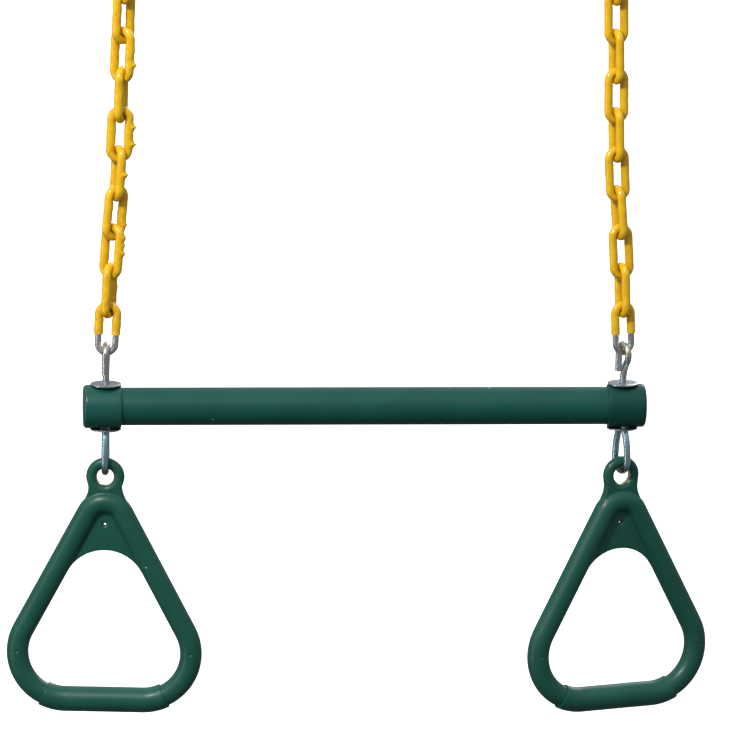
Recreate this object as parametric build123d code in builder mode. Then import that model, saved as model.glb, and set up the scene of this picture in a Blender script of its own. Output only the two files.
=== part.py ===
"""Trapeze bar with two triangular gym rings, hung on two plastisol-coated chains.

Frame: origin midway between the two points where the chains hang from the swing
beam, X along the bar, Y from front to back, Z up. Everything hangs below Z = 0.
Links are numbered from the top; link 10 is the one that holds the bar.
"""
from build123d import *
from math import acos, atan2, cos, degrees, hypot, radians, sin
import os

os.makedirs("parts", exist_ok=True)

# ---------- driving dimensions, mm and degrees ----------
running_gap = 0.3            # between pieces that move on each other
seat_gap = 0.05              # between pieces that sit on each other

# Bar, end caps and washers
rod_spread = 418.5           # between the two hanger rods
bar_length = 455.0           # over the end caps
tube_diameter = 30.5
tube_wall = 1.6
cap_diameter = 35.0
cap_end_wall = 2.5
cap_inner_edge = 197.0       # X of the cap's open edge
cap_rim_radius = 3.0
cap_lip_radius = 0.8
washer_diameter = 25.0
washer_thickness = 1.5
washer_edge_radius = 0.3
shank_hole = 6.5
eye_hole = 15.2              # both legs of the lower eye pass this one

# Chain
steel_wire = 4.8
coat_diameter = 5.8
bend_radius = 7.0            # of a link's ends, to the middle of the wire
link_pitch = 31.8
link_grip = 6.8              # overlap of two links, between the middles of their wires
leans = [1.4, 1.4, 1.4, 1.0, 2.1, 3.1, 4.9, 3.6, 2.5, 2.5]   # each link, inward at its top
left_turns = [-69, 38, -35, 72, -1, -74, 33, -40, 67, -6]    # each link about its length
right_turns = [-72, 20]                                      # taken in turn down the chain
coated_links = 9             # the last link is coated over its upper half only
half_coat_end = -3.6         # above the last link's middle

# Hooks that hang the chains
hook_wire = 5.6
hook_lower_radius = 9.5
hook_upper_radius = 12.0
hook_lower_tip = 64.0        # from the crossing, round the closed loop
hook_upper_tip = -15.0       # above the horizontal, on the open side

# Hanger rods
rod_wire = 5.5
bar_drop = 44.0              # from the last link's lower wire to the bar's axis
eye_lift = 6.2               # from that wire up to the top of the rod's eye
eye_radius = 8.0
eye_bend_start = 20.5        # above the bar's axis
eye_tail_end = 27.0
loop_radius = 10.0
loop_drop = 53.8             # from the bar's axis to the bottom of the lower eye
loop_neck = 4.2              # half width of the lower eye at the washer
loop_neck_drop = 19.0
left_eye_turn = 84.0
right_eye_turn = -68.0

# Rings
left_ring_turn = -6.0
right_ring_turn = 18.0
hole_radius = 6.9
lug_section = 4.3            # radius of the rounded section round the hole
neck_width = 28.2
neck_thickness = 7.0
bushing_wall = 0.9
bushing_reach = 60.0         # half angle of the bushing's curl
ring_tube = 17.6
apex_drop = 21.2             # from the hole to the top of the tube's centreline
apex_radius = 15.5
corner_radius = 39.2
corner_half_spread = 31.2
corner_drop = 146.2
web_thickness = 5.5
web_arc_drop = 94.6
pinhole_diameter = 2.2
pinhole_drop = 39.3
dimple_diameter = 1.6
dimple_depth = 1.0
dimple_half_spread = 70.4
dimple_drop = 144.8
grip_diameter = 20.5
grip_wrap = 27.0             # how far the grip runs round each corner

# ---------- worked out ----------
link_half = (link_pitch + link_grip) / 2
link_leg = link_half - bend_radius
hook_spread = rod_spread - 2 * link_pitch * sum(sin(radians(a)) for a in leans)
hook_upper_centre = hook_wire / 2 - hook_upper_radius
hook_crossing = hook_upper_centre - hook_upper_radius
hook_lower_centre = hook_crossing - hook_lower_radius
hook_bottom = hook_lower_centre - hook_lower_radius
chain_bottom = hook_bottom - link_pitch * sum(cos(radians(a)) for a in leans)
bar_height = chain_bottom - bar_drop
sides = {"left": -1, "right": 1}


def finish(part, name):
    """Label a finished piece and write it to its own file."""
    part.label = name
    export_step(part, f"parts/{name}.step")


def upright_plane(x, z, turn):
    """A vertical drawing plane: its x axis is turned about Z, its y axis is up."""
    across = Vector(cos(radians(turn)), sin(radians(turn)), 0)
    return Plane(origin=(x, 0, z), x_dir=across, z_dir=across.cross(Vector(0, 0, 1)))


# ---------- S-hooks ----------
for side, sign in sides.items():
    lower_centre = (0, hook_lower_centre)
    upper_centre = (0, hook_upper_centre)
    with BuildPart() as s_hook:
        with BuildLine(upright_plane(sign * hook_spread / 2, 0, 0)) as hook_route:
            CenterArc(lower_centre, hook_lower_radius, 90 + hook_lower_tip, 360 - hook_lower_tip)
            CenterArc(upper_centre, hook_upper_radius, 270, hook_upper_tip - 270)
        hook_start = hook_route.line @ 0
        with BuildSketch(Plane(origin=hook_start, z_dir=hook_route.line % 0)):
            Circle(hook_wire / 2)
        sweep(path=hook_route.line)
    finish(s_hook.part, f"{side}_s_hook")


# ---------- chains ----------
def link_plane(sign, lean, turn, middle):
    """The plane a link lies in, with its y axis up the link."""
    up = Vector(-sign * sin(radians(lean)), 0, cos(radians(lean)))
    level = Vector(cos(radians(lean)), 0, sign * sin(radians(lean)))
    across = level * cos(radians(turn)) + Vector(0, 1, 0) * sin(radians(turn))
    return Plane(origin=middle, x_dir=across, z_dir=across.cross(up))


def draw_link():
    """One whole link's centreline, drawn on the current plane."""
    Line((-bend_radius, 0), (-bend_radius, link_leg))
    ThreePointArc((-bend_radius, link_leg), (0, link_half), (bend_radius, link_leg))
    Line((bend_radius, link_leg), (bend_radius, -link_leg))
    ThreePointArc((bend_radius, -link_leg), (0, -link_half), (-bend_radius, -link_leg))
    Line((-bend_radius, -link_leg), (-bend_radius, 0))


def draw_half_link():
    """The upper part of the last link that the coating covers."""
    Line((-bend_radius, half_coat_end), (-bend_radius, link_leg))
    ThreePointArc((-bend_radius, link_leg), (0, link_half), (bend_radius, link_leg))
    Line((bend_radius, link_leg), (bend_radius, half_coat_end))


for side, sign in sides.items():
    hold = Vector(sign * hook_spread / 2, 0, hook_bottom)
    for number, lean in enumerate(leans, start=1):
        turns = left_turns if side == "left" else right_turns
        turn = turns[(number - 1) % len(turns)]
        down = Vector(sign * sin(radians(lean)), 0, -cos(radians(lean)))
        hold = hold + down * link_pitch
        plane = link_plane(sign, lean, turn, hold - down * link_half)

        with BuildPart() as core:
            with BuildLine(plane) as core_route:
                draw_link()
            with BuildSketch(Plane(origin=core_route.line @ 0, z_dir=core_route.line % 0)):
                Circle(steel_wire / 2)
            sweep(path=core_route.line)
        finish(core.part, f"{side}_link_{number:02d}_steel")

        with BuildPart() as coat:
            with BuildLine(plane) as coat_route:
                if number <= coated_links:
                    draw_link()
                else:
                    draw_half_link()
            with BuildSketch(Plane(origin=coat_route.line @ 0, z_dir=coat_route.line % 0)):
                Circle(coat_diameter / 2)
                Circle(steel_wire / 2 + seat_gap, mode=Mode.SUBTRACT)
            sweep(path=coat_route.line)
        finish(coat.part, f"{side}_link_{number:02d}_coat")

# ---------- bar tube ----------
cap_end = bar_length / 2
tube_end = cap_end - cap_end_wall - seat_gap
with BuildPart() as bar_tube:
    with BuildSketch(Plane.YZ.offset(-tube_end)) as tube_section:
        with Locations((0, bar_height)):
            Circle(tube_diameter / 2)
            Circle(tube_diameter / 2 - tube_wall, mode=Mode.SUBTRACT)
    extrude(amount=2 * tube_end)
    for sign in sides.values():
        with BuildSketch(Plane.XY.offset(bar_height)) as top_hole:
            with Locations((sign * rod_spread / 2, 0)):
                Circle(shank_hole / 2)
        extrude(amount=cap_diameter, mode=Mode.SUBTRACT)
        with BuildSketch(Plane.XY.offset(bar_height)) as bottom_hole:
            with Locations((sign * rod_spread / 2, 0)):
                Circle(eye_hole / 2)
        extrude(amount=-cap_diameter, mode=Mode.SUBTRACT)
finish(bar_tube.part, "bar_tube")

# ---------- end caps and washers ----------
for side, sign in sides.items():
    with BuildPart() as end_cap:
        with BuildSketch(Plane.YZ.offset(sign * cap_inner_edge)) as cap_outline:
            with Locations((0, bar_height)):
                Circle(cap_diameter / 2)
        extrude(amount=sign * (cap_end - cap_inner_edge))
        rims = end_cap.edges().filter_by(GeomType.CIRCLE).sort_by(Axis.X)
        fillet(rims[-1 if sign > 0 else 0], cap_rim_radius)
        fillet(rims[0 if sign > 0 else -1], cap_lip_radius)
        with BuildSketch(Plane.YZ.offset(sign * cap_inner_edge)) as cap_socket:
            with Locations((0, bar_height)):
                Circle(tube_diameter / 2 + seat_gap)
        extrude(amount=sign * (cap_end - cap_end_wall - cap_inner_edge), mode=Mode.SUBTRACT)
        with BuildSketch(Plane.XY.offset(bar_height)) as cap_top_hole:
            with Locations((sign * rod_spread / 2, 0)):
                Circle(shank_hole / 2)
        extrude(amount=cap_diameter, mode=Mode.SUBTRACT)
        with BuildSketch(Plane.XY.offset(bar_height)) as cap_bottom_hole:
            with Locations((sign * rod_spread / 2, 0)):
                Circle(eye_hole / 2)
        extrude(amount=-cap_diameter, mode=Mode.SUBTRACT)
    finish(end_cap.part, f"{side}_end_cap")

    seat = cap_diameter / 2 + seat_gap
    for level, direction, hole in (("top", 1, shank_hole), ("bottom", -1, eye_hole)):
        with BuildPart() as washer:
            with BuildSketch(Plane.XY.offset(bar_height + direction * seat)) as washer_outline:
                with Locations((sign * rod_spread / 2, 0)):
                    Circle(washer_diameter / 2)
                    Circle(hole / 2, mode=Mode.SUBTRACT)
            extrude(amount=direction * washer_thickness)
            outer_edges = washer.edges().filter_by(GeomType.CIRCLE).sort_by(SortBy.RADIUS)[-2:]
            fillet(outer_edges, washer_edge_radius)
        finish(washer.part, f"{side}_{level}_washer")

# ---------- hanger rods ----------
# The upper eye is an open hook on the shank's axis: the shank bends to one side,
# runs over the top and comes down the other side. The lower eye is a closed loop.
eye_centre = bar_drop + eye_lift - eye_radius
eye_rise = eye_centre - eye_bend_start
reverse_radius = (eye_rise ** 2 - eye_radius ** 2) / (2 * eye_radius)
eye_dip = degrees(atan2(eye_rise, reverse_radius))
loop_centre = loop_radius - loop_drop
neck_rise = -loop_neck_drop - loop_centre
side_radius = (neck_rise ** 2 + (loop_radius - loop_neck) ** 2) / (2 * (loop_radius - loop_neck))
neck_slope = degrees(atan2(neck_rise, side_radius - (loop_radius - loop_neck)))
shank_radius = loop_neck / (1 - cos(radians(neck_slope)))
loop_bend_start = -loop_neck_drop + shank_radius * sin(radians(neck_slope))

for side, sign in sides.items():
    turn = left_eye_turn if side == "left" else right_eye_turn
    with BuildPart() as hanger_rod:
        with BuildLine(upright_plane(sign * rod_spread / 2, bar_height, turn)) as rod_route:
            Line((-eye_radius, eye_tail_end), (-eye_radius, eye_centre))
            CenterArc((0, eye_centre), eye_radius, 180, -180 - eye_dip)
            CenterArc((reverse_radius, eye_bend_start), reverse_radius, 180 - eye_dip, eye_dip)
            Line((0, eye_bend_start), (0, loop_bend_start))
            CenterArc((shank_radius, loop_bend_start), shank_radius, 180, neck_slope)
            CenterArc((loop_radius - side_radius, loop_centre), side_radius, neck_slope, -neck_slope)
            CenterArc((0, loop_centre), loop_radius, 0, -180)
            CenterArc((side_radius - loop_radius, loop_centre), side_radius, 180, -neck_slope)
        rod_start = rod_route.line @ 0
        with BuildSketch(Plane(origin=rod_start, z_dir=rod_route.line % 0)):
            Circle(rod_wire / 2)
        sweep(path=rod_route.line)
    finish(hanger_rod.part, f"{side}_hanger_rod")

# ---------- rings ----------
hole_height = bar_height - loop_drop + rod_wire / 2 + running_gap - hole_radius
lug_centre_radius = hole_radius + lug_section
apex_centre = Vector(0, -apex_drop - apex_radius)
corner_centre = Vector(corner_half_spread, -corner_drop)
centre_line = corner_centre - apex_centre
leg_tilt = degrees(
    acos((apex_radius - corner_radius) / hypot(centre_line.X, centre_line.Y))
    + atan2(centre_line.Y, centre_line.X)
)
outward = Vector(cos(radians(leg_tilt)), sin(radians(leg_tilt)))
apex_join = apex_centre + outward * apex_radius
corner_join = corner_centre + outward * corner_radius
web_arc_centre = Vector(0, -web_arc_drop)
web_reach = (apex_join - web_arc_centre).dot(outward)
web_join = web_arc_centre + outward * web_reach
web_arc_radius = web_reach - ring_tube / 2
ring_bottom = -corner_drop - corner_radius


def mirrored(point):
    """The point on the ring's other side."""
    return (-point.X, point.Y)


for side, sign in sides.items():
    turn = left_ring_turn if side == "left" else right_ring_turn
    face = upright_plane(sign * rod_spread / 2, hole_height, turn)
    hole_axis = Axis(face.origin, face.z_dir)
    section = Plane(origin=face.origin, x_dir=face.x_dir, z_dir=-face.y_dir)

    with BuildPart() as ring_frame:
        # bent tube: rounded apex, two straight legs, two wide corners and the bottom
        with BuildLine(face) as ring_route:
            Line((0, ring_bottom), (corner_half_spread, ring_bottom))
            CenterArc((corner_half_spread, -corner_drop), corner_radius, 270, 90 + leg_tilt)
            Line((corner_join.X, corner_join.Y), (apex_join.X, apex_join.Y))
            CenterArc((0, apex_centre.Y), apex_radius, leg_tilt, 180 - 2 * leg_tilt)
            Line(mirrored(apex_join), mirrored(corner_join))
            CenterArc((-corner_half_spread, -corner_drop), corner_radius, 180 - leg_tilt, 90 + leg_tilt)
            Line((-corner_half_spread, ring_bottom), (0, ring_bottom))
        with BuildSketch(Plane(origin=ring_route.line @ 0, z_dir=ring_route.line % 0)):
            Circle(ring_tube / 2)
        sweep(path=ring_route.line)
        # web that fills the apex
        with BuildSketch(face) as web:
            with BuildLine():
                ThreePointArc(mirrored(apex_join), (0, -apex_drop), (apex_join.X, apex_join.Y))
                Line((apex_join.X, apex_join.Y), (web_join.X, web_join.Y))
                Polyline((web_join.X, web_join.Y), (0, -web_arc_drop), mirrored(web_join))
                Line(mirrored(web_join), mirrored(apex_join))
            make_face()
            with Locations((0, -web_arc_drop)):
                Circle(web_arc_radius, mode=Mode.SUBTRACT)
            with Locations((0, -pinhole_drop)):
                Circle(pinhole_diameter / 2, mode=Mode.SUBTRACT)
        extrude(amount=web_thickness / 2, both=True)
        # neck between the tube and the lug
        with BuildSketch(face) as neck:
            with Locations((0, -apex_drop / 2)):
                Rectangle(neck_width, apex_drop)
            Circle(lug_centre_radius, mode=Mode.SUBTRACT)
        extrude(amount=neck_thickness / 2, both=True)
        # rounded lug round the hole
        with BuildSketch(section) as lug_profile:
            with Locations((lug_centre_radius, 0)):
                Circle(lug_section)
        revolve(axis=hole_axis)
        # seat of the bushing
        with BuildSketch(section) as bushing_seat:
            Rectangle(2 * lug_centre_radius, 2 * lug_section, align=(Align.MIN, Align.CENTER))
            with Locations((lug_centre_radius, 0)):
                Circle(lug_section - bushing_wall, mode=Mode.SUBTRACT)
            with Locations((lug_centre_radius - (lug_section - bushing_wall) * cos(radians(bushing_reach)), 0)):
                Rectangle(3 * lug_section, 2 * lug_section, align=(Align.MIN, Align.CENTER), mode=Mode.SUBTRACT)
        revolve(axis=hole_axis, mode=Mode.SUBTRACT)
        # moulding marks on the front
        with BuildSketch(face.offset(ring_tube / 2 - dimple_depth)) as dimples:
            with Locations((-dimple_half_spread, -dimple_drop), (dimple_half_spread, -dimple_drop)):
                Circle(dimple_diameter / 2)
        extrude(amount=2 * dimple_depth, mode=Mode.SUBTRACT)
    finish(ring_frame.part, f"{side}_ring_frame")

    with BuildPart() as ring_bushing:
        with BuildSketch(section) as bushing_profile:
            with Locations((lug_centre_radius, 0)):
                Circle(lug_section)
                Circle(lug_section - bushing_wall + seat_gap, mode=Mode.SUBTRACT)
            with Locations((lug_centre_radius - lug_section * cos(radians(bushing_reach)) - seat_gap, 0)):
                Rectangle(3 * lug_section, 3 * lug_section, align=(Align.MIN, Align.CENTER), mode=Mode.SUBTRACT)
        revolve(axis=hole_axis)
    finish(ring_bushing.part, f"{side}_ring_bushing")

    with BuildPart() as ring_grip:
        with BuildLine(face) as grip_route:
            CenterArc((-corner_half_spread, -corner_drop), corner_radius, 270 - grip_wrap, grip_wrap)
            Line((-corner_half_spread, ring_bottom), (corner_half_spread, ring_bottom))
            CenterArc((corner_half_spread, -corner_drop), corner_radius, 270, grip_wrap)
        with BuildSketch(Plane(origin=grip_route.line @ 0, z_dir=grip_route.line % 0)):
            Circle(grip_diameter / 2)
            Circle(ring_tube / 2 + seat_gap, mode=Mode.SUBTRACT)
        sweep(path=grip_route.line)
    finish(ring_grip.part, f"{side}_ring_grip")

print(f"hooks {hook_spread:.1f} apart, bar axis at Z {bar_height:.1f}, ring holes at Z {hole_height:.1f}")
print(f"hook wire at Z {hook_bottom:.2f}, chain bottom at Z {chain_bottom:.2f}")
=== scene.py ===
"""Looks of a trapeze bar with two triangular gym rings on two coated chains.

Measures are in millimetres and degrees, as in the CAD source, and become metres
when a mesh is made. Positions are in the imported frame: X along the bar, Y from
front to back, Z up, origin midway between the points where the chains hang.
"""
from math import acos, atan2, ceil, cos, degrees, exp, hypot, pi, radians, sin, tau

import bmesh
import bpy
from mathutils import Matrix, Vector, noise


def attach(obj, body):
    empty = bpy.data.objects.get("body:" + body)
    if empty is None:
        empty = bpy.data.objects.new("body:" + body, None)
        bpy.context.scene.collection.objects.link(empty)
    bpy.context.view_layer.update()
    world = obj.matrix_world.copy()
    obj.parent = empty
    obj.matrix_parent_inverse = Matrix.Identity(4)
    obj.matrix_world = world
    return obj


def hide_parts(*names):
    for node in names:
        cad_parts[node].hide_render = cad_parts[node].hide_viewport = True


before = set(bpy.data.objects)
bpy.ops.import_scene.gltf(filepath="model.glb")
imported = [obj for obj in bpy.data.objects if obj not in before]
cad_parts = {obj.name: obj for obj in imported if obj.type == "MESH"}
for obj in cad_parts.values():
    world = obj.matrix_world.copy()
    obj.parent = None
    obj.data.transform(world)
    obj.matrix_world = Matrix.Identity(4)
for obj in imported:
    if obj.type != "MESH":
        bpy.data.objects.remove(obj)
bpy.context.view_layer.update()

MM = 0.001
SAME_POINT = 1e-4            # mm; points nearer than this are one
SIDES = {"left": -1, "right": 1}

# ---------- measures shared with the CAD ----------
rod_spread = 418.5
bar_length = 455.0
tube_radius = 15.25
tube_wall = 1.6
cap_radius = 17.5
cap_end_wall = 2.5
cap_inner_edge = 197.0
cap_rim_radius = 3.0
cap_lip_radius = 0.8
washer_radius = 12.5
washer_thickness = 1.5
shank_hole = 6.5
eye_hole = 15.2

steel_radius = 2.4
bare_radius = 2.6            # the last link's lower half, with its plating
coat_radii = {"left": 3.72, "right": 3.50}     # as dipped, lumps apart
seat_radius = 3.36           # the coat where another link lies against it
bend_radius = 7.0
link_pitch = 31.8
link_grip = 6.8
leans = [1.4, 1.4, 1.4, 1.0, 2.1, 3.1, 4.9, 3.6, 2.5, 2.5]
left_turns = [-69, 38, -35, 72, -1, -74, 33, -40, 67, -6]
right_turns = [-72, 20]
last_link = 10
half_coat_end = -4.2

hook_radius = 2.8
hook_lower_radius = 9.5
hook_upper_radius = 12.0
hook_lower_tip = 64.0
hook_upper_tip = -15.0

rod_radius = 2.75
bar_drop = 44.0
eye_lift = 6.2
eye_radius = 8.0
eye_bend_start = 20.5
eye_tail_end = 27.0
loop_radius = 10.0
loop_drop = 53.8
loop_neck = 4.2
loop_neck_drop = 19.0
eye_turns = {"left": 84.0, "right": -68.0}

running_gap = 0.3
ring_turns = {"left": -6.0, "right": 18.0}
hole_radius = 6.9
lug_section = 4.3
neck_width = 28.2
plate_half = 4.15            # the plate that the lug and the neck share
bushing_reach = 34.0          # half of its curl that shows inside the hole
ring_tube = 8.8
apex_drop = 21.2
apex_radius = 15.5
corner_radius = 39.2
corner_half_spread = 31.2
corner_drop = 146.2
web_thickness = 5.5
web_arc_drop = 94.6
pinhole_radius = 1.1
pinhole_drop = 39.3
dimple_half_spread = 70.4
dimple_drop = 144.8
grip_radius = 10.25
grip_wrap = 27.0

# ---------- worked out, as in the CAD ----------
link_half = (link_pitch + link_grip) / 2
link_leg = link_half - bend_radius
hook_spread = rod_spread - 2 * link_pitch * sum(sin(radians(a)) for a in leans)
hook_upper_centre = hook_radius - hook_upper_radius
hook_lower_centre = hook_upper_centre - hook_upper_radius - hook_lower_radius
hook_bottom = hook_lower_centre - hook_lower_radius
chain_bottom = hook_bottom - link_pitch * sum(cos(radians(a)) for a in leans)
bar_height = chain_bottom - bar_drop
hole_height = bar_height - loop_drop + rod_radius + running_gap - hole_radius
lug_centre_radius = hole_radius + lug_section
ring_bottom = -corner_drop - corner_radius


# ---------- routes, drawn flat as (x, y) ----------
def straight(a, b, step=1.2):
    """Points from a to b."""
    count = max(1, ceil(hypot(b[0] - a[0], b[1] - a[1]) / step))
    return [
        (a[0] + (b[0] - a[0]) * i / count, a[1] + (b[1] - a[1]) * i / count)
        for i in range(count + 1)
    ]


def arc(centre, radius, start, turn, step=6.0):
    """Points on an arc, from the angle start through turn degrees."""
    count = max(2, ceil(abs(turn) / step))
    angles = [radians(start + turn * i / count) for i in range(count + 1)]
    return [(centre[0] + radius * cos(a), centre[1] + radius * sin(a)) for a in angles]


def route(*stretches, closed=False):
    """One list of points from stretches that meet end to end."""
    points = []
    for stretch in stretches:
        for p in stretch:
            if not points or hypot(p[0] - points[-1][0], p[1] - points[-1][1]) > SAME_POINT:
                points.append(p)
    if closed:
        points.pop()
    return points


class Flat:
    """A drawing plane in the frame: origin in mm, x and y directions and the normal."""

    def __init__(self, origin, x_dir, y_dir):
        self.origin, self.x, self.y = Vector(origin), Vector(x_dir), Vector(y_dir)
        self.normal = self.x.cross(self.y).normalized()

    def at(self, point):
        """Where a point drawn on the plane is in the frame, in mm."""
        return self.origin + self.x * point[0] + self.y * point[1]

    def matrix(self):
        """Takes the plane's own coordinates to the frame, still in mm."""
        m = Matrix((self.x, self.y, self.normal)).transposed().to_4x4()
        m.translation = self.origin
        return m


def upright(x, z, turn):
    """A vertical plane: its x axis is turned about Z, its y axis is up."""
    return Flat((x, 0, z), (cos(radians(turn)), sin(radians(turn)), 0), (0, 0, 1))


# ---------- meshes ----------
def new_piece(name, mesh):
    """An object of the scene that shows the mesh."""
    piece = bpy.data.objects.new(name, mesh)
    bpy.context.scene.collection.objects.link(piece)
    return piece


def as_mesh(bm, name):
    """The bmesh kept as a mesh; the bmesh itself is freed."""
    mesh = bpy.data.meshes.new(name)
    bm.to_mesh(mesh)
    bm.free()
    return mesh


def finish_mesh(bm, name, sharp_angle=38.0):
    """A mesh in metres with smooth faces, creased where it turns sharply."""
    bmesh.ops.recalc_face_normals(bm, faces=bm.faces[:])
    for face in bm.faces:
        face.smooth = True
    for edge in bm.edges:
        if len(edge.link_faces) == 2 and edge.calc_face_angle(0.0) > radians(sharp_angle):
            edge.smooth = False
    bmesh.ops.scale(bm, vec=(MM, MM, MM), verts=bm.verts[:])
    return as_mesh(bm, name)


tip_clear = 0.05             # least distance from a rounded tip to the next full section


def swept(flat, points, radius, sides, closed=False, ends=(), shape=None, tone=None):
    """A bmesh in mm of a round bar along points on a plane.

    An open bar has ends, (distance from the tip, radius lost) steps that round both
    tips. shape gives a radius for (base radius, local point, outward direction, angle
    round the section), and tone three shades, kept as the mesh's "tone", for the last
    three of these. The angle is 0 on the inner side of a clockwise route.
    """
    stations = []
    count = len(points)
    for i in range(count):
        after = points[(i + 1) % count] if closed else points[min(i + 1, count - 1)]
        before = points[i - 1] if closed or i else points[0]
        along = Vector((after[0] - before[0], after[1] - before[1])).normalized()
        stations.append((Vector(points[i]), along, radius))
    if not closed:
        first, last = stations[0], stations[-1]
        head, tail = [], []
        for distance, lost in ends:
            head.append((first[0] + first[1] * distance, first[1], radius - lost))
            tail.append((last[0] - last[1] * distance, last[1], radius - lost))
        reach = ends[-1][0] + tip_clear
        body = [
            s for s in stations
            if (s[0] - first[0]).length > reach and (s[0] - last[0]).length > reach
        ]
        stations = head + body + tail[::-1]
    bm = bmesh.new()
    layer = bm.verts.layers.float_color.new("tone") if tone else None
    rings = []
    for point, along, r in stations:
        across = Vector((along.y, -along.x))
        ring = []
        for k in range(sides):
            a = tau * k / sides
            out = flat.x * (across.x * cos(a)) + flat.y * (across.y * cos(a)) + flat.normal * sin(a)
            here = shape(r, point, out, a) if shape else r
            vert = bm.verts.new(flat.at(point) + out * here)
            if tone:
                vert[layer] = (*tone(point, out, a), 1.0)
            ring.append(vert)
        rings.append(ring)
    spans = len(rings) if closed else len(rings) - 1
    for i in range(spans):
        a, b = rings[i], rings[(i + 1) % len(rings)]
        for k in range(sides):
            bm.faces.new((a[k], a[(k + 1) % sides], b[(k + 1) % sides], b[k]))
    if not closed:
        bm.faces.new(rings[0][::-1])
        bm.faces.new(rings[-1])
    return bm


def turned(profile, origin, axis, radial, segments=96):
    """A bmesh in mm of a closed profile of (along, radius) points turned about an axis."""
    origin, axis, radial = Vector(origin), Vector(axis), Vector(radial)
    side = axis.cross(radial)
    bm = bmesh.new()
    rings = []
    for k in range(segments):
        a = tau * k / segments
        out = radial * cos(a) + side * sin(a)
        rings.append([bm.verts.new(origin + axis * u + out * r) for u, r in profile])
    for k in range(segments):
        a, b = rings[k], rings[(k + 1) % segments]
        for i in range(len(profile)):
            j = (i + 1) % len(profile)
            if profile[i][1] or profile[j][1]:
                bm.faces.new((a[i], a[j], b[j], b[i]))
    bmesh.ops.remove_doubles(bm, verts=bm.verts[:], dist=SAME_POINT)
    return bm


def prism(outline, half_depth):
    """A bmesh in mm of a flat outline, thickened both ways."""
    bm = bmesh.new()
    front = [bm.verts.new((x, y, -half_depth)) for x, y in outline]
    back = [bm.verts.new((x, y, half_depth)) for x, y in outline]
    bm.faces.new(front)
    bm.faces.new(back[::-1])
    for i in range(len(outline)):
        j = (i + 1) % len(outline)
        bm.faces.new((front[i], back[i], back[j], front[j]))
    bmesh.ops.recalc_face_normals(bm, faces=bm.faces[:])
    return bm


def rod_cutter(x, y, z_low, z_high, radius):
    """A closed upright bar in mm, for cutting a hole."""
    return turned(
        [(0, 0), (0, radius), (z_high - z_low, radius), (z_high - z_low, 0)],
        (x, y, z_low), (0, 0, 1), (1, 0, 0), segments=48,
    )


def add_cuts(obj, cutters):
    """Takes the cutters, bmeshes in mm, out of obj; returns the tools that do it."""
    tools = []
    for cutter in cutters:
        bmesh.ops.recalc_face_normals(cutter, faces=cutter.faces[:])
        tool = new_piece("cutter", as_mesh(cutter, "cutter"))
        cut = obj.modifiers.new("cut", "BOOLEAN")
        cut.operation, cut.solver, cut.object = "DIFFERENCE", "EXACT", tool
        tools.append(tool)
    return tools


def settled(obj, tools):
    """The object's mesh with its modifiers applied; the object and its tools are removed."""
    bpy.context.view_layer.update()
    mesh = bpy.data.meshes.new_from_object(obj.evaluated_get(bpy.context.evaluated_depsgraph_get()))
    for spent in [obj] + tools:
        bpy.data.objects.remove(spent)
    return mesh


def carved(bm, cutters, name):
    """The bmesh bm, in mm, less the cutters."""
    bmesh.ops.recalc_face_normals(bm, faces=bm.faces[:])
    obj = new_piece(name, as_mesh(bm, name))
    mesh = settled(obj, add_cuts(obj, cutters))
    result = bmesh.new()
    result.from_mesh(mesh)
    bpy.data.meshes.remove(mesh)
    return result


def smoothstep(low, high, value):
    """0 up to low, 1 from high, and a soft rise between them."""
    t = min(1.0, max(0.0, (value - low) / (high - low)))
    return t * t * (3 - 2 * t)


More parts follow.
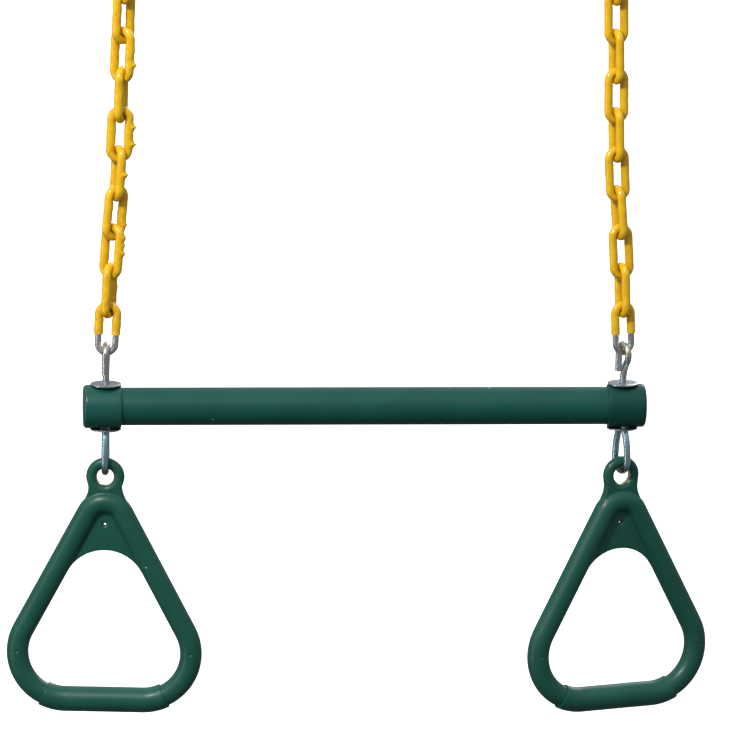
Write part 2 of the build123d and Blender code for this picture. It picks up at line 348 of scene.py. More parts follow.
# ---------- materials ----------
class Finish:
    """A material whose nodes are written from the surface's own place on the object."""

    def __init__(self, name):
        self.material = bpy.data.materials.new(name)
        self.material.use_nodes = True
        self.tree = self.material.node_tree
        self.tree.nodes.clear()
        self.place = self.node("ShaderNodeTexCoord").outputs["Object"]

    def node(self, kind, inputs=None, **settings):
        """A new node; inputs are values or the sockets to link."""
        made = self.tree.nodes.new(kind)
        for key, value in settings.items():
            setattr(made, key, value)
        for key, value in (inputs or {}).items():
            if isinstance(value, bpy.types.NodeSocket):
                self.tree.links.new(value, made.inputs[key])
            else:
                made.inputs[key].default_value = value
        return made

    def noise(self, scale, detail):
        inputs = {"Vector": self.place, "Scale": scale, "Detail": detail, "Roughness": 0.5}
        return self.node("ShaderNodeTexNoise", inputs).outputs["Fac"]

    def span(self, value, low, high, to_low=0.0, to_high=1.0):
        """The value's way from low to high, held at both ends."""
        inputs = {
            "Value": value, "From Min": low, "From Max": high, "To Min": to_low, "To Max": to_high,
        }
        return self.node("ShaderNodeMapRange", inputs).outputs["Result"]

    def math(self, operation, a, b):
        return self.node("ShaderNodeMath", {0: a, 1: b}, operation=operation).outputs[0]

    def mix(self, factor, a, b):
        """The colour a, or b where the factor is 1."""
        return self.node("ShaderNodeMix", {0: factor, 6: a, 7: b}, data_type="RGBA").outputs[2]

    def height(self):
        """Metres above the object's origin."""
        return self.node("ShaderNodeSeparateXYZ", {0: self.place}).outputs["Z"]

    def tone(self):
        """The three tones kept on the mesh: orange-brown painted shade in bends, pale, darker painted
        shade.
        """
        kept = self.node("ShaderNodeAttribute", attribute_name="tone").outputs["Color"]
        parts = self.node("ShaderNodeSeparateColor", {0: kept})
        return parts.outputs[0], parts.outputs[1], parts.outputs[2]

    def flecks(self, scale, share, size):
        """1 on a few small specks, 0 elsewhere."""
        cells = self.node("ShaderNodeTexVoronoi", {"Vector": self.place, "Scale": scale})
        chosen = self.node("ShaderNodeSeparateColor", {0: cells.outputs["Color"]}).outputs[0]
        rare = self.math("LESS_THAN", chosen, share)
        near = self.span(cells.outputs["Distance"], size * 0.6, size, 1.0, 0.0)
        return self.math("MULTIPLY", rare, near)

    def bumps(self, *layers):
        """A normal from (height, strength, distance) layers."""
        normal = None
        for height, strength, distance in layers:
            inputs = {"Height": height, "Strength": strength, "Distance": distance}
            if normal:
                inputs["Normal"] = normal
            normal = self.node("ShaderNodeBump", inputs).outputs["Normal"]
        return normal

    def done(self, **sockets):
        """The material, with a shader that has these sockets set."""
        inputs = {key.replace("_", " "): value for key, value in sockets.items()}
        shader = self.node("ShaderNodeBsdfPrincipled", inputs)
        output = self.node("ShaderNodeOutputMaterial")
        self.tree.links.new(shader.outputs[0], output.inputs["Surface"])
        return self.material


def rgba(red, green, blue):
    return (red, green, blue, 1.0)


def plastisol():
    """Glossy yellow dip, with orange-brown and darker painted shade from the tones kept on the mesh."""
    f = Finish("yellow_plastisol")
    bend_shade, pale, dark = f.tone()
    body = f.mix(f.span(f.noise(140, 3), 0.35, 0.65), rgba(0.80, 0.44, 0.002), rgba(0.87, 0.53, 0.003))
    body = f.mix(f.span(f.noise(300, 2), 0.58, 0.78, 0.0, 0.35), body, rgba(0.72, 0.37, 0.006))
    # orange-brown painted shade inside the bends where links meet, varied by noise
    varied_bend_shade = f.math("MULTIPLY", bend_shade, f.span(f.noise(600, 3), 0.25, 0.6, 0.55, 1.0))
    body = f.mix(varied_bend_shade, body, rgba(0.40, 0.15, 0.008))
    # darker orange painted shade inside the bends and on the undersides, with random mottle
    body = f.mix(f.math("MULTIPLY", dark, 0.6), body, rgba(0.52, 0.25, 0.008))
    body = f.mix(pale, body, rgba(0.88, 0.74, 0.32))
    body = f.mix(f.flecks(300, 0.012, 0.25), body, rgba(0.35, 0.16, 0.02))
    rough = f.span(f.noise(260, 2), 0.3, 0.7, 0.14, 0.28)
    normal = f.bumps((f.noise(320, 2), 0.35, 0.0006), (f.noise(1300, 2), 0.12, 0.0002))
    return f.done(
        Base_Color=body, Roughness=rough, Normal=normal, IOR=1.52,
        Subsurface_Weight=0.25, Subsurface_Radius=(1.0, 0.55, 0.08), Subsurface_Scale=0.0022,
        Coat_Weight=0.25, Coat_Roughness=0.08,
    )


# metres over which the colours set by height fade in or out: the plating's, and the painted shade in
# the ring's hole
blue_fade = 0.012
hole_shade_fade = 0.005
gold_fade = (0.006, 0.004)


def zinc(name, cool, warm, rough, gold_from=None, blue_below=None, hole_shade_below=None):
    """Plated steel; above one height chromate spots show, below another it is blue, and below a third
    it is painted olive shade, where the loop lies in the ring's hole.
    """
    f = Finish(name)
    body = f.mix(f.span(f.noise(170, 3), 0.38, 0.62), cool, warm)
    body = f.mix(f.span(f.noise(650, 3), 0.55, 0.75, 0.0, 0.35), body, rgba(0.30, 0.29, 0.27))
    if blue_below is not None:
        low = f.span(f.height(), blue_below - blue_fade, blue_below, 0.8, 0.0)
        body = f.mix(low, body, rgba(0.36, 0.58, 0.66))
    # painted shade: olive darkening low down, where the loop lies in the ring's hole
    if hole_shade_below is not None:
        hole_shade = f.span(f.height(), hole_shade_below - hole_shade_fade, hole_shade_below, 0.85, 0.0)
        body = f.mix(hole_shade, body, rgba(0.24, 0.22, 0.15))
    if gold_from is not None:
        high = f.span(f.height(), gold_from - gold_fade[0], gold_from + gold_fade[1])
        spots = f.math("MULTIPLY", high, f.span(f.noise(300, 2), 0.50, 0.62))
        body = f.mix(spots, body, rgba(0.66, 0.50, 0.12))
    roughness = f.span(f.noise(300, 2), 0.3, 0.7, *rough)
    normal = f.bumps((f.noise(900, 2), 0.012, 0.0002), (f.noise(160, 1), 0.03, 0.0005))
    return f.done(Base_Color=body, Metallic=1.0, Roughness=roughness, Normal=normal)


def green(name, base, lift, rough, peel_scale, peel, fleck_share, coat, specular):
    """Dark green paint or moulded plastic; lift is its lighter, chalkier patches."""
    f = Finish(name)
    body = f.mix(f.span(f.noise(35, 3), 0.35, 0.7), base, lift)
    body = f.mix(f.span(f.noise(900, 2), 0.5, 0.8, 0.0, 0.35), body, rgba(0.0040, 0.038, 0.028))
    scuffed = f.flecks(170, fleck_share, 0.16)
    body = f.mix(scuffed, body, rgba(0.34, 0.47, 0.42))
    roughness = f.span(f.noise(90, 3), 0.3, 0.7, *rough)
    normal = f.bumps(
        (f.noise(peel_scale, 2), peel, 0.0003), (f.noise(55, 1), 0.10, 0.0012), (scuffed, 0.3, 0.0003)
    )
    return f.done(
        Base_Color=body, Roughness=roughness, Normal=normal, IOR=1.48, Specular_IOR_Level=specular,
        Coat_Weight=coat, Coat_Roughness=0.22,
    )


chain_coat = plastisol()
chain_steel = zinc(
    "zinc_link", rgba(0.58, 0.57, 0.60), rgba(0.66, 0.60, 0.60), rough=(0.28, 0.46)
)
# the rod's loop is painted darker olive from 47 mm below the bar: painted shade in the ring's hole
rod_zinc = zinc(
    "zinc_rod", rgba(0.50, 0.58, 0.66), rgba(0.62, 0.60, 0.52), rough=(0.20, 0.32),
    gold_from=(bar_height + 42) * MM, blue_below=bar_height * MM, hole_shade_below=(bar_height - 47) * MM,
)
plate_zinc = zinc(
    "zinc_washer", rgba(0.42, 0.45, 0.46), rgba(0.48, 0.48, 0.49), rough=(0.26, 0.40)
)
hook_zinc = zinc(
    "zinc_hook", rgba(0.52, 0.56, 0.60), rgba(0.60, 0.57, 0.48), rough=(0.20, 0.36)
)
bushing_zinc = zinc(
    "zinc_bushing", rgba(0.50, 0.47, 0.40), rgba(0.62, 0.54, 0.34), rough=(0.24, 0.40)
)
bar_paint = green(
    "green_bar_paint", rgba(0.0045, 0.068, 0.055), rgba(0.0060, 0.078, 0.063), rough=(0.42, 0.54),
    peel_scale=620, peel=0.10, fleck_share=0.010, coat=0.0, specular=0.25,
)
cap_plastic = {
    "left": green(
        "green_cap_plastic", rgba(0.0050, 0.070, 0.056), rgba(0.0065, 0.080, 0.064),
        rough=(0.28, 0.38), peel_scale=900, peel=0.06, fleck_share=0.006, coat=0.15, specular=0.3,
    ),
    # the right cap is the same plastic with a darker base: painted shade, as if less light reached that
    # end
    "right": green(
        "green_cap_plastic_painted_shade", rgba(0.0028, 0.050, 0.042), rgba(0.0038, 0.057, 0.048),
        rough=(0.30, 0.40), peel_scale=900, peel=0.06, fleck_share=0.006, coat=0.08, specular=0.22,
    ),
}
ring_plastic = green(
    "green_ring_plastic", rgba(0.0065, 0.074, 0.050), rgba(0.0085, 0.086, 0.059),
    rough=(0.36, 0.46), peel_scale=1000, peel=0.12, fleck_share=0.012, coat=0.1, specular=0.32,
)
grip_plastic = green(
    "green_grip_plastic", rgba(0.0070, 0.078, 0.055), rgba(0.0095, 0.092, 0.066),
    rough=(0.34, 0.46), peel_scale=800, peel=0.12, fleck_share=0.014, coat=0.1, specular=0.32,
)


def add(name, mesh, finish_material, slot, body, *nodes):
    """A piece that takes the place of CAD nodes and rides on their body."""
    mesh.materials.append(finish_material)
    piece = new_piece(name, mesh)
    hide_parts(*nodes)
    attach(piece, body)
    return piece


# ---------- hooks ----------
hook_tip = ((0.0, 0.55), (0.2, 0.2), (0.6, 0.0))

for side, sign in SIDES.items():
    flat = upright(sign * hook_spread / 2, 0, 0)
    line = route(
        arc((0, hook_lower_centre), hook_lower_radius, 90 + hook_lower_tip, 360 - hook_lower_tip),
        arc((0, hook_upper_centre), hook_upper_radius, 270, hook_upper_tip - 270),
    )
    bm = swept(flat, line, hook_radius, sides=28, ends=hook_tip)
    add(f"{side}_hook_wire", finish_mesh(bm, "hook"), hook_zinc, "hardware", "hooks", f"{side}_s_hook")


# ---------- chains ----------
bend_steps = 30              # in a link's lower bend
leg_step = 0.7               # mm between sections on a link's legs
half_coat_step = 0.5


def link_flat(sign, lean, turn, middle):
    """The plane a link lies in, with its y axis up the link."""
    up = Vector((-sign * sin(radians(lean)), 0, cos(radians(lean))))
    level = Vector((cos(radians(lean)), 0, sign * sin(radians(lean))))
    across = level * cos(radians(turn)) + Vector((0, 1, 0)) * sin(radians(turn))
    return Flat(middle, across, up)


def link_line(pointed=2.0):
    """One whole link's centreline, clockwise; pointed under 2 sharpens its lower end."""
    lower = []
    for i in range(bend_steps + 1):
        a = pi * i / bend_steps
        x, y = cos(a), sin(a)
        size = (abs(x) ** pointed + abs(y) ** pointed) ** (-1 / pointed)
        lower.append((bend_radius * x * size, -link_leg - bend_radius * y * size))
    return route(
        straight((-bend_radius, -link_leg), (-bend_radius, link_leg), leg_step),
        arc((0, link_leg), bend_radius, 180, -180),
        straight((bend_radius, link_leg), (bend_radius, -link_leg), leg_step),
        lower,
        closed=True,
    )


# drips off the right-hand side of the left chain's links: (height on the link, length)
drips = {
    3: [(-6.7, 2.5), (5.0, 0.6)],
    5: [(6.2, 2.5), (-7.4, 2.9)],
    6: [(0.6, 3.0)],
    7: [(-9.5, 1.5)],
    8: [(12.5, 1.8), (6.5, 1.4), (0.0, 2.1)],
    9: [(3.0, 0.7)],
}
drip_way = Vector((0.97, -0.24, 0))
drip_reach = 4.2
drip_sag = 0.4               # how far a drip's tip lies below its height
lump_heights = {"left": 0.34, "right": 0.16}

# the seat starts and is whole this far below the bend; over the crown it reaches further round
seat_start, seat_whole, crown_rise = 4.8, 2.2, 4.0
leg_seat_edge, crown_seat_edge, seat_fade = 0.3, -0.6, 0.3


def coat_shape(flat, seed, marks, lumps):
    """The uneven radius of a dipped coat: pressed thin where links bear, with drips."""

    def radius(r, point, out, a):
        place = flat.at(point) + out * r
        near_seat = smoothstep(link_leg - seat_start, link_leg - seat_whole, abs(point.y))
        crown = smoothstep(link_leg, link_leg + crown_rise, abs(point.y))
        # how far round the section the seat reaches, as the cosine at its edge
        edge = leg_seat_edge + (crown_seat_edge - leg_seat_edge) * crown
        seat = near_seat * smoothstep(edge - seat_fade, edge + seat_fade, cos(a))
        uneven = lumps * noise.noise(place * 0.17 + seed) + 0.06 * noise.noise(place * 0.5 + seed)
        total = (r + uneven) * (1 - seat) + seat_radius * seat
        if point.x > 0:
            for height, length in marks:
                near = max(0.0, 1 - abs(point.y - height + drip_sag) / drip_reach)
                total += length * near ** 1.7 * max(0.0, out.dot(drip_way)) ** 2.6
        return total

    return radius


def coat_tone(flat, seed, open_end):
    """Orange-brown painted shade inside the bends where links meet, darker painted shade there and on
    undersides, and a pale rim where the half coat ends.
    """

    def tone(point, out, a):
        # painted shade: orange-brown on the inside of the bends, where the next link lies
        bend = smoothstep(link_leg - 0.5, link_leg + 4.5, abs(point.y))
        bend_shade = bend * max(0.0, cos(a)) ** 1.4
        # painted shade, darker, deeper inside the bends
        deep = 0.8 * smoothstep(link_leg - 7.0, link_leg + 3.0, abs(point.y)) * max(0.0, cos(a))
        pale = 0.0
        if open_end:
            pale = 0.75 * (1 - smoothstep(half_coat_end + 0.25, half_coat_end + 0.7, point.y))
            bend_shade = bend_shade if point.y > 0 else 0.0
        # painted shade on surfaces facing down, plus darker patches at random
        under = 0.35 * max(0.0, -out.z) + 0.25 * max(0.0, noise.noise(flat.at(point) * 0.11 + seed))
        return bend_shade, pale, min(1.0, max(deep, under))

    return tone


coat_sides = 28
hidden_sides, plated_sides = 12, 28
coat_tip = ((0.0, 0.55), (0.12, 0.18), (0.45, -0.04), (1.4, -0.02))
last_link_pointed = 1.72

for side, sign in SIDES.items():
    hold = Vector((sign * hook_spread / 2, 0, hook_bottom))
    turns = left_turns if side == "left" else right_turns
    for number, lean in enumerate(leans, start=1):
        # hold is the lower end of this link's centreline
        away = Vector((-sign * sin(radians(lean)), 0, cos(radians(lean))))
        hold = hold - away * link_pitch
        turn = turns[(number - 1) % len(turns)]
        flat = link_flat(sign, lean, turn, hold + away * link_half)
        name = f"{side}_link_{number:02d}"
        seed = Vector((number * 3.1, sign * 7.7, number * 1.3))
        marks = drips.get(number, []) if side == "left" else []
        last = number == last_link
        if last:
            line = route(
                straight((-bend_radius, half_coat_end), (-bend_radius, link_leg), half_coat_step),
                arc((0, link_leg), bend_radius, 180, -180),
                straight((bend_radius, link_leg), (bend_radius, half_coat_end), half_coat_step),
            )
            steel = swept(flat, link_line(last_link_pointed), bare_radius, plated_sides, closed=True)
        else:
            line = link_line()
            steel = swept(flat, line, steel_radius, hidden_sides, closed=True)
        coat = swept(
            flat, line, coat_radii[side], coat_sides, closed=not last, ends=coat_tip,
            shape=coat_shape(flat, seed, marks, lump_heights[side]), tone=coat_tone(flat, seed, last),
        )
        add(
            f"{name}_plastisol", finish_mesh(coat, "coat", sharp_angle=60), chain_coat,
            "chain_coat", name, f"{name}_coat",
        )
        add(
            f"{name}_wire", finish_mesh(steel, "steel"), chain_steel, "chain_steel",
            name, f"{name}_steel",
        )

# ---------- bar, caps and washers ----------
cap_end = bar_length / 2
end_gap = 0.05               # between the tube and a cap's end
washer_gap = 0.05
cap_fit_gap = 0.06
cap_belly = 0.12             # how much the cap's side swells
washer_edge = 0.35
tube_end = cap_end - cap_end_wall - end_gap
cut_reach = 26.0             # from the bar's axis to a cutter's far end
slot_offset = 3.9            # from the rod's axis to a leg's slot
slot_radius = 3.1
slot_swivels = (-12, 0, 12)  # degrees that the slots allow the rod


def bar_holes():
    """Cutters for the shank's holes on top and the wider ones below."""
    cutters = []
    for sign in SIDES.values():
        x = sign * rod_spread / 2
        cutters.append(rod_cutter(x, 0, bar_height, bar_height + cut_reach, shank_hole / 2))
        cutters.append(rod_cutter(x, 0, bar_height - cut_reach, bar_height + 0.5, eye_hole / 2))
    return cutters


def leg_slots(side, sign, top):
    """Cutters for a slot that lets both legs of a rod through and lets them swivel."""
    low, high = bar_height - cut_reach, bar_height + top + 1.0
    cutters = []
    for way in (0, 180):
        for swivel in slot_swivels:
            a = radians(eye_turns[side] + way + swivel)
            x = sign * rod_spread / 2 + slot_offset * cos(a)
            cutters.append(rod_cutter(x, slot_offset * sin(a), low, high, slot_radius))
    return cutters


def washer_section(hole):
    """(height, radius) points of half a washer's section; without a hole it is a full disc."""
    rim = [
        (washer_thickness, washer_radius - 3.0),
        (washer_thickness - 0.04, washer_radius - washer_edge * 1.6),
        (washer_thickness - washer_edge, washer_radius), (washer_edge, washer_radius),
        (0.0, washer_radius - washer_edge),
    ]
    if not hole:
        return [(washer_thickness, 0.0)] + rim + [(0.0, 0.0)]
    inner = hole / 2
    return [
        (0.0, inner + 0.2), (0.2, inner), (washer_thickness - 0.2, inner),
        (washer_thickness, inner + 0.3),
    ] + rim


def cap_holes(side, sign):
    """Cutters for a cap: round on top, a slot below."""
    top = rod_cutter(sign * rod_spread / 2, 0, bar_height, bar_height + cut_reach, shank_hole / 2)
    return [top] + leg_slots(side, sign, -tube_radius)


stations = [(-tube_end + 2 * tube_end * i / 48, tube_radius) for i in range(49)]
tube_profile = stations + [(tube_end, tube_radius - tube_wall), (-tube_end, tube_radius - tube_wall)]
tube = carved(
    turned(tube_profile, (0, 0, bar_height), (1, 0, 0), (0, 0, 1), segments=128),
    bar_holes(), "bar",
)
add("bar_painted_tube", finish_mesh(tube, "bar"), bar_paint, "bar_paint", "bar", "bar_tube")

for side, sign in SIDES.items():
    depth = cap_end - cap_inner_edge
    rim = [
        (depth - cap_rim_radius + p[0], cap_radius - cap_rim_radius + p[1])
        for p in arc((0, 0), cap_rim_radius, 90, -90, 9)
    ]
    lip = [
        (cap_lip_radius + p[0], cap_radius - cap_lip_radius + p[1])
        for p in arc((0, 0), cap_lip_radius, 180, -90, 15)
    ]
    belly = [
        (u, cap_radius + cap_belly * sin(pi * (u - 1.0) / (depth - 5.0)))
        for u in (4.0, 8.0, 12.0, 16.0, 20.0, 24.0)
    ]
    profile = (
        [(0, tube_radius + cap_fit_gap)] + lip + belly + rim
        + [(depth - 0.15, 12.0), (depth - 0.3, 8.0), (depth - 0.3, 0.0)]
        + [(depth - cap_end_wall, 0.0), (depth - cap_end_wall, tube_radius + cap_fit_gap)]
    )
    cap = carved(
        turned(
            profile, (sign * cap_inner_edge, 0, bar_height), (sign, 0, 0), (0, 0, 1), segments=128
        ),
        cap_holes(side, sign), "cap",
    )
    add(
        f"{side}_moulded_cap", finish_mesh(cap, "cap", sharp_angle=34), cap_plastic[side],
        "cap_plastic", "bar", f"{side}_end_cap",
    )

    for level, way, hole in (("top", 1, shank_hole), ("bottom", -1, 0.0)):
        section = washer_section(hole)
        start = bar_height + way * (cap_radius + washer_gap)
        washer = turned(section, (sign * rod_spread / 2, 0, start), (0, 0, way), (1, 0, 0))
        if not hole:
            washer = carved(washer, leg_slots(side, sign, -cap_radius), "washer")
        add(
            f"{side}_{level}_plated_washer", finish_mesh(washer, "washer", sharp_angle=30),
            plate_zinc, "hardware", "bar", f"{side}_{level}_washer",
        )

# ---------- hanger rods ----------
eye_centre = bar_drop + eye_lift - eye_radius
eye_rise = eye_centre - eye_bend_start
reverse_radius = (eye_rise ** 2 - eye_radius ** 2) / (2 * eye_radius)
eye_dip = degrees(atan2(eye_rise, reverse_radius))
loop_centre = loop_radius - loop_drop
neck_rise = -loop_neck_drop - loop_centre
side_radius = (neck_rise ** 2 + (loop_radius - loop_neck) ** 2) / (2 * (loop_radius - loop_neck))
neck_slope = degrees(atan2(neck_rise, side_radius - (loop_radius - loop_neck)))
shank_radius = loop_neck / (1 - cos(radians(neck_slope)))
loop_bend_start = -loop_neck_drop + shank_radius * sin(radians(neck_slope))

rod_tip = ((0.0, 0.3), (0.25, 0.0))

for side, sign in SIDES.items():
    flat = upright(sign * rod_spread / 2, bar_height, eye_turns[side])
    line = route(
        straight((-eye_radius, eye_tail_end), (-eye_radius, eye_centre)),
        arc((0, eye_centre), eye_radius, 180, -180 - eye_dip),
        arc((reverse_radius, eye_bend_start), reverse_radius, 180 - eye_dip, eye_dip, 3),
        straight((0, eye_bend_start), (0, loop_bend_start)),
        arc((shank_radius, loop_bend_start), shank_radius, 180, neck_slope, 3),
        arc((loop_radius - side_radius, loop_centre), side_radius, neck_slope, -neck_slope, 2),
        arc((0, loop_centre), loop_radius, 0, -180),
        arc((side_radius - loop_radius, loop_centre), side_radius, 180, -neck_slope, 2),
    )

    def bent(r, point, out, a):
        """Wire that the bending has marked a little."""
        place = flat.at(point) + out * r
        return r + 0.06 * noise.noise(place * 0.12)

    rod = swept(flat, line, rod_radius, sides=32, ends=rod_tip, shape=bent)
    add(
        f"{side}_bent_rod", finish_mesh(rod, "rod"), rod_zinc, "hardware",
        f"{side}_hanger", f"{side}_hanger_rod",
    )

# ---------- rings ----------
apex_centre = Vector((0, -apex_drop - apex_radius))
centre_line = Vector((corner_half_spread, -corner_drop)) - apex_centre
leg_tilt = degrees(
    acos((apex_radius - corner_radius) / centre_line.length) + atan2(centre_line.y, centre_line.x)
)
outward = Vector((cos(radians(leg_tilt)), sin(radians(leg_tilt))))
apex_join = apex_centre + outward * apex_radius
corner_join = Vector((corner_half_spread, -corner_drop)) + outward * corner_radius
web_reach = (apex_join - Vector((0, -web_arc_drop))).dot(outward)
web_arc_radius = web_reach - ring_tube
own_plane = Flat((0, 0, 0), (1, 0, 0), (0, 1, 0))
voxel = 0.62
melt_rounds = 6
melted = 0.12                # what the smoothing takes off a round part
bore_reach = 20.0
grip_tip = ((0.0, 1.62), (0.0, 0.5), (0.15, 0.15), (0.55, 0.0))


def add_voxels(obj):
    """Melts what obj is made of into one even skin."""
    remesh = obj.modifiers.new("voxels", "REMESH")
    remesh.mode, remesh.voxel_size, remesh.use_smooth_shade = "VOXEL", voxel, True


def moulded_ring():
    """One ring in its own plane, in mm: tube, web, neck and lug run into each other."""
    line = route(
        arc((corner_half_spread, -corner_drop), corner_radius, 270, 90 + leg_tilt, 3),
        straight(corner_join, apex_join, 3),
        arc((0, apex_centre.y), apex_radius, leg_tilt, 180 - 2 * leg_tilt, 5),
        straight((-apex_join.x, apex_join.y), (-corner_join.x, corner_join.y), 3),
        arc((-corner_half_spread, -corner_drop), corner_radius, 180 - leg_tilt, 90 + leg_tilt, 3),
        straight((-corner_half_spread, ring_bottom), (corner_half_spread, ring_bottom), 3),
        closed=True,
    )
    parts = [swept(own_plane, line, ring_tube + melted, sides=72, closed=True)]
    web_join = Vector((0, -web_arc_drop)) + outward * web_reach
    web_outline = route(
        [(-web_join.x, web_join.y), (-apex_join.x, apex_join.y)],
        arc((0, apex_centre.y), apex_radius, 180 - leg_tilt, 2 * leg_tilt - 180, 5),
        [(apex_join.x, apex_join.y), (web_join.x, web_join.y)],
        arc((0, -web_arc_drop), web_arc_radius, leg_tilt, 180 - 2 * leg_tilt, 3),
    )
    parts.append(prism(web_outline, web_thickness / 2))
    flare = [
        (neck_width / 2, -4.0), (neck_width / 2 - 0.5, -8.5), (neck_width / 2 - 0.2, -12.0),
        (neck_width / 2 + 0.9, -15.5), (neck_width / 2 + 2.3, -18.6), (neck_width / 2, -25.0),
    ]
    lug_arc = arc((0, 0), lug_centre_radius - 0.6, 200, 140, 8)
    parts.append(prism(flare + [(-x, y) for x, y in flare[::-1]] + lug_arc, plate_half))
    round_section = arc((0, 0), lug_section + melted, 0, 360, 10)[:-1]
    torus = [(p[1], lug_centre_radius + p[0]) for p in round_section]
    parts.append(turned(torus, (0, 0, 0), (0, 0, 1), (1, 0, 0)))
    joined = bmesh.new()
    for part in parts:
        bmesh.ops.recalc_face_normals(part, faces=part.faces[:])
        mesh = as_mesh(part, "part")
        joined.from_mesh(mesh)
        bpy.data.meshes.remove(mesh)
    obj = new_piece("ring_parts", as_mesh(joined, "ring_parts"))
    add_voxels(obj)
    # the hole and the pinhole go through everything that the neck and web filled in
    bores = []
    for drop, radius in ((0.0, hole_radius + 0.2), (-pinhole_drop, pinhole_radius + 0.15)):
        bar = [(-bore_reach, 0), (-bore_reach, radius), (bore_reach, radius), (bore_reach, 0)]
        bores.append(turned(bar, (0, drop, 0), (0, 0, 1), (1, 0, 0), segments=64))
    tools = add_cuts(obj, bores)
    add_voxels(obj)
    melt = obj.modifiers.new("melt", "SMOOTH")
    melt.factor, melt.iterations = 0.5, melt_rounds
    return settled(obj, tools)


# marks pressed in the front: (x, y, flat to this radius, gone at this radius, depth)
press_marks = (
    (-dimple_half_spread, -dimple_drop, 0.3, 1.5, 1.1),
    (dimple_half_spread, -dimple_drop, 0.3, 1.5, 1.1),
    (0.0, -pinhole_drop, 1.4, 3.0, 0.7),
)


def marked(bm):
    """Small moulding marks: two dimples and the dish round the pinhole, on the front."""
    for vert in bm.verts:
        x, y, z = vert.co
        if z < 0:
            continue
        for px, py, flat_radius, mark_radius, deep in press_marks:
            away = hypot(x - px, y - py)
            if away < mark_radius:
                vert.co.z -= deep * (1 - smoothstep(flat_radius, mark_radius, away))


# its +z side, which has the marks, comes to face the front
ring_mesh = moulded_ring()
for side, sign in SIDES.items():
    flat = upright(sign * rod_spread / 2, hole_height, ring_turns[side])
    bm = bmesh.new()
    bm.from_mesh(ring_mesh)
    marked(bm)
    bmesh.ops.transform(bm, matrix=flat.matrix(), verts=bm.verts[:])
    add(
        f"{side}_moulded_ring", finish_mesh(bm, "ring", sharp_angle=75), ring_plastic, "ring_plastic",
        f"{side}_ring", f"{side}_ring_frame",
    )

    outer, inner = lug_section + 0.14, lug_section - 0.9
    curl = arc((0, 0), outer, 180 - bushing_reach, 2 * bushing_reach, 8)
    lining = arc((0, 0), inner, 180 + bushing_reach, -2 * bushing_reach, 8)
    profile = [(p[1], lug_centre_radius + p[0]) for p in curl + lining]
    bushing = turned(profile, flat.origin, flat.normal, flat.x)
    add(
        f"{side}_curled_bushing", finish_mesh(bushing, "bushing"), bushing_zinc, "bushing_metal",
        f"{side}_ring", f"{side}_ring_bushing",
    )

    def sleeve(r, point, out, a):
        """A moulded sleeve: a shallow groove along its parting line, and slightly uneven."""
        place = flat.at(point) + out * r
        seam = 0.10 * exp(-((sin(a) / 0.05) ** 2))
        return r - seam + 0.05 * noise.noise(place * 0.08)

    line = route(
        arc((corner_half_spread, -corner_drop), corner_radius, 270 + grip_wrap, -grip_wrap, 1.5),
        straight((corner_half_spread, ring_bottom), (-corner_half_spread, ring_bottom), 1.5),
        arc((-corner_half_spread, -corner_drop), corner_radius, 270, -grip_wrap, 1.5),
    )
    grip = swept(flat, line, grip_radius, sides=96, ends=grip_tip, shape=sleeve)
    add(
        f"{side}_grip_sleeve", finish_mesh(grip, "grip", sharp_angle=30), grip_plastic, "grip_plastic",
        f"{side}_ring", f"{side}_ring_grip",
    )
bpy.data.meshes.remove(ring_mesh)

# ---------- floor, light and camera ----------
floor_height, floor_radius = -2.35, 60.0       # metres
bm = bmesh.new()
bmesh.ops.create_circle(bm, cap_ends=True, segments=96, radius=floor_radius)
bmesh.ops.translate(bm, vec=(0, 0, floor_height), verts=bm.verts[:])
floor_mesh = as_mesh(bm, "floor")
floor = new_piece("floor", floor_mesh)
pale = Finish("pale_floor")
floor_tint = pale.mix(pale.noise(0.6, 2), rgba(0.86, 0.86, 0.86), rgba(0.90, 0.90, 0.90))
floor_mesh.materials.append(
    pale.done(Base_Color=floor_tint, Roughness=0.8, Emission_Color=rgba(1, 1, 1), Emission_Strength=1.0)
)
floor.visible_diffuse = False
floor.visible_glossy = False

scene = bpy.context.scene
scene.view_settings.view_transform = "Standard"

# the world's colour from straight down to straight up; the camera itself sees white
sky_low, sky_high = (0.12, 0.13, 0.13, 1), (0.85, 0.90, 0.97, 1)
sky_between = (
    (0.40, (0.22, 0.23, 0.23, 1)),
    (0.56, (0.24, 0.25, 0.26, 1)),
    (0.76, (0.55, 0.59, 0.64, 1)),
)
world = bpy.data.worlds.new("studio")
scene.world = world
world.use_nodes = True
tree = world.node_tree
tree.nodes.clear()
coordinates = tree.nodes.new("ShaderNodeTexCoord")
split = tree.nodes.new("ShaderNodeSeparateXYZ")
ramp = tree.nodes.new("ShaderNodeValToRGB")
lift = tree.nodes.new("ShaderNodeMapRange")
light_path = tree.nodes.new("ShaderNodeLightPath")
seen = tree.nodes.new("ShaderNodeMix")
seen.data_type = "RGBA"
background = tree.nodes.new("ShaderNodeBackground")
output = tree.nodes.new("ShaderNodeOutputWorld")
tree.links.new(coordinates.outputs["Generated"], split.inputs[0])
tree.links.new(split.outputs["Z"], lift.inputs["Value"])
lift.inputs["From Min"].default_value = -1.0
tree.links.new(lift.outputs["Result"], ramp.inputs["Fac"])
ramp.color_ramp.elements[0].position = 0.0
ramp.color_ramp.elements[0].color = sky_low
ramp.color_ramp.elements[1].position = 1.0
ramp.color_ramp.elements[1].color = sky_high
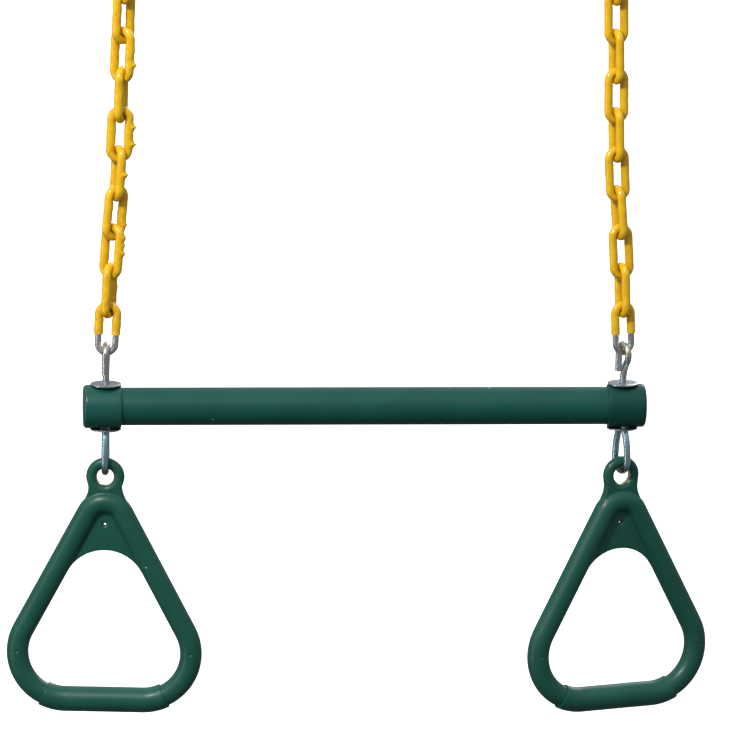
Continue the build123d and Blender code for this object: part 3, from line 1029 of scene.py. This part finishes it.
for position, colour in sky_between:
    element = ramp.color_ramp.elements.new(position)
    element.color = colour
tree.links.new(light_path.outputs["Is Camera Ray"], seen.inputs[0])
tree.links.new(ramp.outputs["Color"], seen.inputs[6])
seen.inputs[7].default_value = (1, 1, 1, 1)
tree.links.new(seen.outputs[2], background.inputs["Color"])
tree.links.new(background.outputs[0], output.inputs["Surface"])


centre = Vector((0, 0, bar_height * MM))


def add_light(name, shape, size, energy, offset, colour=(1.0, 1.0, 1.0)):
    """An area light aimed at the bar; the camera does not see it."""
    lamp = bpy.data.objects.new(name, bpy.data.lights.new(name, "AREA"))
    lamp.data.shape, lamp.data.energy, lamp.data.color = shape, energy, colour
    lamp.data.size, lamp.data.size_y = size
    scene.collection.objects.link(lamp)
    lamp.location = centre + Vector(offset)
    lamp.rotation_mode = "QUATERNION"
    lamp.rotation_quaternion = (-Vector(offset)).to_track_quat("-Z", "Y")
    lamp.visible_camera = False


add_light("key", "DISK", (0.42, 0.42), 66, (-1.25, -1.75, 2.0), (1.0, 0.985, 0.96))
add_light("panel", "RECTANGLE", (0.35, 2.6), 13, (-2.5, -1.0, 0.0))
add_light("fill", "DISK", (1.6, 1.6), 22, (1.4, 2.6, 1.5))

view_azimuth, view_elevation, view_roll = radians(-4.8), radians(11.5), radians(0.87)
view_distance, lens = 5.0, 297.6
target = Vector((7.6 * MM, 0, (bar_height + 33.7) * MM))
back = Vector((
    sin(view_azimuth) * cos(view_elevation),
    -cos(view_azimuth) * cos(view_elevation),
    sin(view_elevation),
))
right = Vector((cos(view_azimuth), sin(view_azimuth), 0))
up = back.cross(right)
level = right * cos(view_roll) + up * sin(view_roll)
camera = bpy.data.objects.new("camera", bpy.data.cameras.new("camera"))
scene.collection.objects.link(camera)
camera.data.lens = lens
camera.data.sensor_width = 36.0
camera.data.clip_end = 200.0
place = Matrix((level, back.cross(level), back)).transposed().to_4x4()
place.translation = target + back * view_distance
camera.matrix_world = place
scene.camera = camera

bpy.context.view_layer.update()
